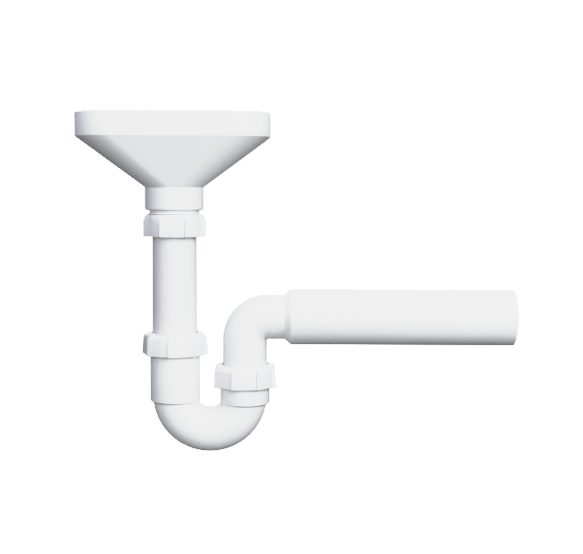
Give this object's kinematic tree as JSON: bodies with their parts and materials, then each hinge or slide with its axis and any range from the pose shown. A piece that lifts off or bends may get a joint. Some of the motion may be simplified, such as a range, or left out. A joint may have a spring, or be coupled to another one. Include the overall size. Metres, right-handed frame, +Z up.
{
  "type": "funnel p trap",
  "caption": "Open funnel draining through a dip tube and a U-bend water seal into a horizontal wall pipe, joined by slip nuts.",
  "frame": {"origin": "centre of the wall pipe's open end", "axes": "+X out of the wall pipe along its axis, +Z up along the dip tube; the trap is symmetric about the XZ plane"},
  "size_m": [0.3926, 0.1, 0.3054],
  "materials": {
    "white_plastic": "satin moulded polypropylene",
    "nut_plastic": "satin moulded polypropylene",
    "ring_plastic": "smooth low-friction plastic",
    "seal_rubber": "smooth rubber"
  },
  "bodies": {
    "outlet": {"outlet_bend": "white_plastic"},
    "outlet_seal": {"outlet_wedge_seal": "seal_rubber"},
    "trap": {"trap_bend": "white_plastic", "inlet_wedge_seal": "seal_rubber"},
    "outlet_ring": {"outlet_pressure_ring": "ring_plastic"},
    "outlet_nut": {"outlet_nut": "nut_plastic"},
    "inlet_ring": {"inlet_pressure_ring": "ring_plastic"},
    "inlet_nut": {"inlet_nut": "nut_plastic"},
    "dip_tube": {"dip_tube": "white_plastic"},
    "funnel_nut": {"funnel_nut": "nut_plastic"},
    "gasket": {"flat_gasket": "seal_rubber"},
    "funnel": {"funnel": "white_plastic"}
  },
  "joints": [
    {"name": "trap_lift", "type": "slide", "parent": "outlet", "child": "outlet_seal", "axis": [0, 0, 1], "range_m": [-0.008, 0.003]},
    {"name": "trap_swivel", "type": "hinge", "parent": "outlet_seal", "child": "trap", "pos_m": [-0.2431, 0, -0.0715], "axis": [0, 0, 1], "range_deg": [-115, 115]},
    {"name": "dip_tube_slide", "type": "slide", "parent": "trap", "child": "dip_tube", "axis": [0, 0, 1], "range_m": [-0.014, 0.018]},
    {"name": "outlet_nut_lift", "type": "slide", "parent": "trap", "child": "outlet_ring", "axis": [0, 0, 1], "range_m": [0, 0.0105]},
    {"name": "outlet_nut_turn", "type": "hinge", "parent": "outlet_ring", "child": "outlet_nut", "pos_m": [-0.2431, 0, -0.053], "axis": [0, 0, 1], "range_deg": [0, 1620]},
    {"name": "inlet_nut_lift", "type": "slide", "parent": "trap", "child": "inlet_ring", "axis": [0, 0, 1], "range_m": [0, 0.0105]},
    {"name": "inlet_nut_turn", "type": "hinge", "parent": "inlet_ring", "child": "inlet_nut", "pos_m": [-0.3066, 0, -0.024], "axis": [0, 0, 1], "range_deg": [0, 1620]},
    {"name": "funnel_swivel", "type": "hinge", "parent": "dip_tube", "child": "gasket", "pos_m": [-0.3066, 0, 0.0785], "axis": [0, 0, 1], "continuous": true},
    {"name": "funnel_nut_turn", "type": "hinge", "parent": "gasket", "child": "funnel_nut", "pos_m": [-0.3066, 0, 0.0827], "axis": [0, 0, -1], "range_deg": [0, 1800]},
    {"name": "funnel_lift", "type": "slide", "parent": "gasket", "child": "funnel", "axis": [0, 0, 1], "range_m": [0, 0.0117]}
  ],
  "couplings": [
    {"joint": "outlet_nut_lift", "follows": "outlet_nut_turn", "m_per_rad": 0.00036749},
    {"joint": "inlet_nut_lift", "follows": "inlet_nut_turn", "m_per_rad": 0.00036749},
    {"joint": "funnel_lift", "follows": "funnel_nut_turn", "m_per_rad": 0.00036749}
  ]
}
